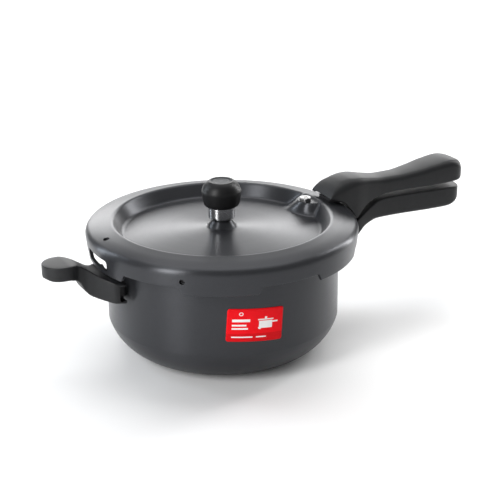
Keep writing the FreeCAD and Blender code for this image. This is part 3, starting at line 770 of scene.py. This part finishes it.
def safety_plug():
    """A hexagon head with its corners turned off, a bored centre and a stem."""
    low, high, corner = 116.6, 120.2, 5.6
    bore, stem, foot = 1.4, 3.0, 104.6
    rings = [
        hex_ring(corner, foot, stem), hex_ring(corner, low, stem),
        hex_ring(corner - 0.3, low), hex_ring(corner, low + 0.3),
        hex_ring(corner, high - 0.9), hex_ring(corner, high - 0.45, 5.25),
        hex_ring(corner, high - 0.05, 4.7), hex_ring(corner, high, 4.5),
        hex_ring(corner, high, 2.4), hex_ring(corner, high - 0.7, 1.9),
        hex_ring(corner, high - 0.9, bore), hex_ring(corner, foot, bore),
    ]
    rings.append(rings[0])
    return skinned("safety_plug_finished", rings)


def front_label():
    """A thin film on the wall with a map from 0 to 1 across and up."""
    start, sweep, bottom, top = -114.6, 27.2, 43.5, 72.5
    columns, rows = 48, 24
    points = []
    uvs = []
    width = radians(sweep) * PAN_RADIUS
    height = top - bottom
    corner = 2.0
    faces = []
    for row in range(rows + 1):
        for column in range(columns + 1):
            u = column / columns
            v = row / rows
            x, y = rounded_square(u, v, width, height, corner)
            uvs.append((x / width, y / height))
            x, y = leaned(x - width / 2, y - height / 2)
            x += width / 2
            y += height / 2
            angle = radians(start) + x / PAN_RADIUS
            radius = PAN_RADIUS + 0.22
            points.append((radius * cos(angle), radius * sin(angle), bottom + y))
    across = columns + 1
    for row in range(rows):
        for column in range(columns):
            low = row * across + column
            faces.append((low, low + 1, low + across + 1, low + across))
    film = new_object("front_label_finished", points, faces, uvs)
    thick = film.modifiers.new("film", "SOLIDIFY")
    thick.thickness = 0.2 * MM
    thick.offset = -1
    return applied(film)


def leaned(x, y):
    """The film is stuck on by hand, a few degrees out of level."""
    return (x * cos(LABEL_LEAN) - y * sin(LABEL_LEAN),
            x * sin(LABEL_LEAN) + y * cos(LABEL_LEAN))


def rounded_square(u, v, width, height, corner):
    """Maps the unit square to a rectangle with rounded corners."""
    x = u * width
    y = v * height
    near_x = min(x, width - x)
    near_y = min(y, height - y)
    if near_x < corner and near_y < corner:
        dx = corner - near_x
        dy = corner - near_y
        reach = max(dx, dy)
        length = hypot(dx, dy)
        scale = reach / length if length else 1.0
        near_x = corner - dx * scale
        near_y = corner - dy * scale
        x = near_x if x < width / 2 else width - near_x
        y = near_y if y < height / 2 else height - near_y
    return x, y


# ------------------------------------------------------------------- finishes
def anodised_shell():
    """Hard-anodised spun aluminium: dark satin oxide over fine lathe lines."""
    finish = Finish("anodised_shell", Metallic=0.6, IOR=1.45, Anisotropic=0.8,
                    Anisotropic_Rotation=0.25)
    place = finish.place()
    x, y, z = finish.parts(place)
    radius = (x * x + y * y) ** 0.5
    fine = finish.noise(2600.0, 2.0, 0.6, place)
    grain = finish.noise(620.0, 3.0, 0.55, place)
    cloud = finish.noise(16.0, 4.0, 0.55, place)
    rings = finish.node("ShaderNodeTexNoise", {"noise_dimensions": "2D"}, sockets={
        "Vector": finish.joined(radius * 900.0, z * 900.0, 0.0), "Scale": 1.0,
        "Detail": 2.0, "Roughness": 0.6})
    scuffs = (finish.noise(42.0, 5.0, 0.7, place) - 0.64).most(0.0) * 2.0
    shade = (cloud - 0.5) * 0.4 + (grain - 0.5) * 0.35 + (rings - 0.5) * 0.15 + 0.5
    colour = finish.mix(shade.clamped(), (0.034, 0.035, 0.039), (0.056, 0.058, 0.064))
    colour = finish.mix(scuffs.clamped() * 0.4, colour, (0.075, 0.077, 0.08))
    rough = 0.36 + (cloud - 0.5) * 0.07 + (grain - 0.5) * 0.10 + (rings - 0.5) * 0.05
    height = fine * 0.55 + grain * 0.35 + rings * 0.25
    normal = finish.bump(height, 0.16, 0.00006)
    return finish.set(Base_Color=colour, Roughness=rough.clamped(), Normal=normal)


def moulded_plastic(name, dark, light, roughness, bump_strength):
    """Moulded phenolic: satin, a fine texture and soft rubbed patches."""
    finish = Finish(name, IOR=1.5, Specular_IOR_Level=0.24)
    place = finish.place()
    stipple = finish.noise(2400.0, 2.0, 0.6, place)
    mottle = finish.noise(240.0, 3.0, 0.6, place)
    handled = finish.noise(22.0, 3.0, 0.5, place)
    colour = finish.mix((mottle * 0.5 + handled * 0.5).clamped(), dark, light)
    rough = roughness + (handled - 0.5) * 0.12 + (stipple - 0.5) * 0.10
    normal = finish.bump(stipple * 0.7 + mottle * 0.3, bump_strength, 0.00008)
    return finish.set(Base_Color=colour, Roughness=rough.clamped(), Normal=normal)


def turned_metal(name, colour, roughness, ring_strength, centre=(0.0, 0.0), worn=0.06,
                 lines=0.0):
    """Lathe-turned bright metal with faint tool rings and fingerprints."""
    finish = Finish(name, Metallic=1.0, Anisotropic=lines, Anisotropic_Rotation=0.25)
    place = finish.place()
    x, y, z = finish.parts(place)
    dx = x - centre[0]
    dy = y - centre[1]
    radius = (dx * dx + dy * dy) ** 0.5
    rings = finish.node("ShaderNodeTexNoise", {"noise_dimensions": "2D"}, sockets={
        "Vector": finish.joined(radius * 3000.0, z * 3000.0, 0.0), "Scale": 1.0,
        "Detail": 1.0, "Roughness": 0.5})
    smear = finish.noise(130.0, 4.0, 0.6, place)
    shaded = tuple(value * 0.86 for value in colour)
    tint = finish.mix(smear, shaded, colour)
    rough = roughness + (smear - 0.5).most(0.0) * worn * 2.0 + (rings - 0.5) * worn * 0.5
    normal = finish.bump(rings, ring_strength, 0.00002)
    return finish.set(Base_Color=tint, Roughness=rough.clamped(), Normal=normal)


def gasket_rubber():
    finish = Finish("gasket_rubber", IOR=1.5)
    place = finish.place()
    bloom = finish.noise(60.0, 4.0, 0.6, place)
    grain = finish.noise(1500.0, 2.0, 0.5, place)
    colour = finish.mix(bloom, (0.022, 0.022, 0.024), (0.05, 0.05, 0.052))
    rough = 0.55 + (bloom - 0.5) * 0.2
    return finish.set(Base_Color=colour, Roughness=rough.clamped(),
                      Normal=finish.bump(grain, 0.2, 0.00006))


def label_film():
    """A red printed film with a deeper band, a pan sign, a ring and plain bars."""
    finish = Finish("label_film", IOR=1.45, Specular_IOR_Level=0.12)
    flat = finish.node("ShaderNodeUVMap", {"uv_map": "flat"})
    u, v = finish.parts(flat)[:2]

    def bar(left, right, low, high, blur=0.008):
        inside = (left - u).below(0.0, blur) * (u - right).below(0.0, blur)
        return inside * (low - v).below(0.0, blur) * (v - high).below(0.0, blur)

    def disc(across, up, reach, blur=0.012):
        du = (u - across) * 1.49
        dv = v - up
        return ((du * du + dv * dv) ** 0.5).below(reach, blur)

    pan_sign = bar(0.56, 0.80, 0.40, 0.62)
    pan_sign = pan_sign.most(bar(0.54, 0.82, 0.645, 0.675))
    pan_sign = pan_sign.most(bar(0.80, 0.90, 0.555, 0.60))
    pan_sign = pan_sign.most(bar(0.66, 0.70, 0.675, 0.74))
    pan_sign = pan_sign.most(disc(0.58, 0.42, 0.05).least(bar(0.54, 0.60, 0.37, 0.43)))
    bars = bar(0.09, 0.40, 0.60, 0.68)
    bars = bars.most(bar(0.09, 0.34, 0.47, 0.52))
    bars = bars.most(bar(0.09, 0.37, 0.37, 0.42))
    lower = bar(0.09, 0.46, 0.12, 0.155).most(bar(0.52, 0.70, 0.12, 0.155))
    white = pan_sign.most(bars).most(lower)
    band = v.below(0.245, 0.01)
    ring = disc(0.24, 0.84, 0.055).least(1.0 - disc(0.24, 0.84, 0.035))
    ink = finish.noise(420.0, 2.0, 0.5)
    red = finish.mix(ink, (0.80, 0.003, 0.008), (0.88, 0.005, 0.012))
    deep = finish.mix(ink, (0.62, 0.002, 0.006), (0.68, 0.004, 0.009))
    colour = finish.mix(band.clamped(), red, deep)
    colour = finish.mix(white.most(ring).clamped(), colour, (0.88, 0.87, 0.86))
    ripple = finish.noise(90.0, 2.0, 0.5)
    rough = 0.34 + (ink - 0.5) * 0.08
    return finish.set(Base_Color=colour, Roughness=rough.clamped(),
                      Normal=finish.bump(ripple, 0.05, 0.0002))


def cap_plastic():
    """The knob: near-black, its dish painted paler as a painted sheen of the light from above,
    and a slightly paler pressed ring in the dish.
    """
    finish = Finish("cap_plastic", IOR=1.5, Specular_IOR_Level=0.26)
    place = finish.place()
    x, y, z = finish.parts(place)
    radius = (x * x + y * y) ** 0.5
    stipple = finish.noise(2200.0, 2.0, 0.6, place)
    handled = finish.noise(60.0, 3.0, 0.5, place)
    top = (0.1490 - z).below(0.0, 0.0003) * radius.below(0.0092, 0.0004)
    colour = finish.mix(handled, (0.006, 0.006, 0.0065), (0.012, 0.012, 0.0125))
    # Painted sheen: the top dish is mixed towards a paler grey, standing in for the light that
    # falls on it from above.
    colour = finish.mix(top.clamped() * 0.9, colour, (0.040, 0.042, 0.046))
    ring = (abs(radius - 0.0062)).below(0.00055, 0.00025) * top
    dot = radius.below(0.0017, 0.00025) * top
    relief = ring.most(dot).clamped()
    rough = 0.42 + (handled - 0.5) * 0.12 + (stipple - 0.5) * 0.08 + top * 0.10
    colour = finish.mix(relief * 0.35, colour, (0.10, 0.102, 0.106))
    fine = finish.bump(stipple, 0.10, 0.00008)
    normal = finish.bump(relief, 0.5, 0.0003, fine)
    return finish.set(Base_Color=colour, Roughness=rough.clamped(), Normal=normal)


# --------------------------------------------------------------------- pieces
def rest_in_cad(node, finish):
    """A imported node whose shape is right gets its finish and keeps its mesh."""
    part = nodes[node]
    if not part.material_slots:
        part.data.materials.append(finish.material)
    for slot in part.material_slots:
        slot.material = finish.material


shell_finish = anodised_shell()
handle_finish = moulded_plastic("handle_plastic", (0.013, 0.0135, 0.0145),
                                (0.023, 0.0235, 0.025), 0.46, 0.16)
cap_finish = cap_plastic()
chrome = turned_metal("weight_chrome", (0.90, 0.90, 0.91), 0.24, 0.03, lines=0.9)
plug_chrome = turned_metal("plug_metal", (0.36, 0.36, 0.36), 0.30, 0.06, PLUG_PLACE_M)
tube_metal = turned_metal("tube_metal", (0.62, 0.61, 0.59), 0.22, 0.15)
steel = turned_metal("steel", (0.55, 0.55, 0.56), 0.28, 0.12, worn=0.12)
# Near-black for the brackets and rivets: painted shade, standing in for the shadow that falls
# under the handles.
shade_black = moulded_plastic("blackened_steel", (0.012, 0.012, 0.013), (0.03, 0.03, 0.032),
                            0.5, 0.2)
alloy = turned_metal("fusible", (0.45, 0.44, 0.42), 0.42, 0.10, worn=0.12)
rubber = gasket_rubber()
film = label_film()

FINISHED = [
    ("lid_shell", lid_shell, "lid", "anodised_shell", shell_finish),
    ("pan_body", pan_body, "pan", "anodised_shell", shell_finish),
    ("lid_handle", lid_handle, "lid", "handle_plastic", handle_finish),
    ("pan_handle", pan_handle, "pan", "handle_plastic", handle_finish),
    ("helper_handle", helper_handle, "pan", "handle_plastic", handle_finish),
    ("weight_cap", weight_cap, "weight", "cap_plastic", cap_finish),
    ("weight_body", weight_body, "weight", "weight_chrome", chrome),
    ("front_label", front_label, "pan", "label_film", film),
    ("safety_plug", safety_plug, "lid", "plug_metal", plug_chrome),
]
for node, shape, body, slot, finish in FINISHED:
    finish_piece(shape(), body, slot, finish, node)

redrawn = {row[0] for row in FINISHED}
for name in nodes:
    if name in redrawn:
        continue
    if name == "gasket":
        rest_in_cad(name, rubber)
    elif name == "safety_plug_core":
        rest_in_cad(name, alloy)
    elif name in ("vent_tube", "vent_washer", "vent_nut"):
        rest_in_cad(name, tube_metal)
    # Brackets and rivets take the near-black painted shade.
    elif name.endswith("bracket") or "rivet" in name:
        rest_in_cad(name, shade_black)
    else:
        rest_in_cad(name, steel)


# ---------------------------------------------------------------- the studio
FLOOR_HALF = 6.0


def floor():
    """A wide plain pale floor with a barely uneven tone."""
    grid = bmesh.new()
    bmesh.ops.create_grid(grid, x_segments=8, y_segments=8, size=FLOOR_HALF)
    mesh = bpy.data.meshes.new("studio_floor")
    grid.to_mesh(mesh)
    grid.free()
    made = bpy.data.objects.new("studio_floor", mesh)
    bpy.context.scene.collection.objects.link(made)
    finish = Finish("floor_paper", Roughness=0.7, IOR=1.4)
    cloud = finish.noise(3.0, 2.0, 0.5)
    finish.set(Base_Color=finish.mix(cloud, (0.90, 0.90, 0.90), (0.93, 0.93, 0.93)))
    made.data.materials.append(finish.material)
    return made


VIEW_TARGET = Vector((0.0, 0.0, 0.070))
VIEW_DISTANCE = 1.2
VIEW_AZIMUTH = radians(-26.0)
VIEW_ELEVATION = radians(21.624)
VIEW_ROLL = radians(-0.852)
LENS = 98.76
LENS_SHIFT = (0.055, 0.035)


def direction(azimuth, elevation):
    return Vector((sin(azimuth) * cos(elevation), -cos(azimuth) * cos(elevation),
                   sin(elevation)))


def studio_camera():
    data = bpy.data.cameras.new("studio_camera")
    data.lens = LENS
    data.sensor_width = 36.0
    data.shift_x, data.shift_y = LENS_SHIFT
    data.clip_start = 0.05
    data.clip_end = 30.0
    made = bpy.data.objects.new("studio_camera", data)
    bpy.context.scene.collection.objects.link(made)
    away = direction(VIEW_AZIMUTH, VIEW_ELEVATION)
    made.location = VIEW_TARGET + away * VIEW_DISTANCE
    facing = (-away).to_track_quat("-Z", "Y")
    made.rotation_mode = "QUATERNION"
    made.rotation_quaternion = facing @ Quaternion((0, 0, 1), VIEW_ROLL)
    bpy.context.scene.camera = made
    return made


def softbox(name, azimuth, elevation, distance, width, height, power, tint=(1, 1, 1)):
    """An area light that faces the pan, its azimuth measured from the camera's."""
    data = bpy.data.lights.new(name, "AREA")
    data.shape = "RECTANGLE"
    data.size = width
    data.size_y = height
    data.energy = power
    data.color = tint
    made = bpy.data.objects.new(name, data)
    bpy.context.scene.collection.objects.link(made)
    away = direction(VIEW_AZIMUTH + radians(azimuth), radians(elevation))
    made.location = VIEW_TARGET + away * distance
    made.rotation_mode = "QUATERNION"
    made.rotation_quaternion = (-away).to_track_quat("-Z", "Y")
    made.visible_camera = False
    return made


def studio_world(strength):
    world = bpy.data.worlds.new("studio_world")
    bpy.context.scene.world = world
    world.use_nodes = True
    backdrop = world.node_tree.nodes["Background"]
    backdrop.inputs["Color"].default_value = (1.0, 1.0, 1.0, 1.0)
    backdrop.inputs["Strength"].default_value = strength


floor()
studio_camera()
studio_world(0.20)
softbox("front_left_box", -44, 24, 1.6, 0.44, 1.3, 22.0)
softbox("left_strip", -112, 20, 1.5, 0.16, 1.3, 9.0, (0.86, 0.93, 1.0))
softbox("right_strip", 124, 22, 1.5, 0.22, 1.3, 14.0)
softbox("back_box", 180, 17, 2.0, 1.9, 0.8, 20.0)
softbox("top_box", 178, 72, 2.2, 2.2, 1.6, 26.0)

bpy.context.scene.view_settings.view_transform = "Standard"
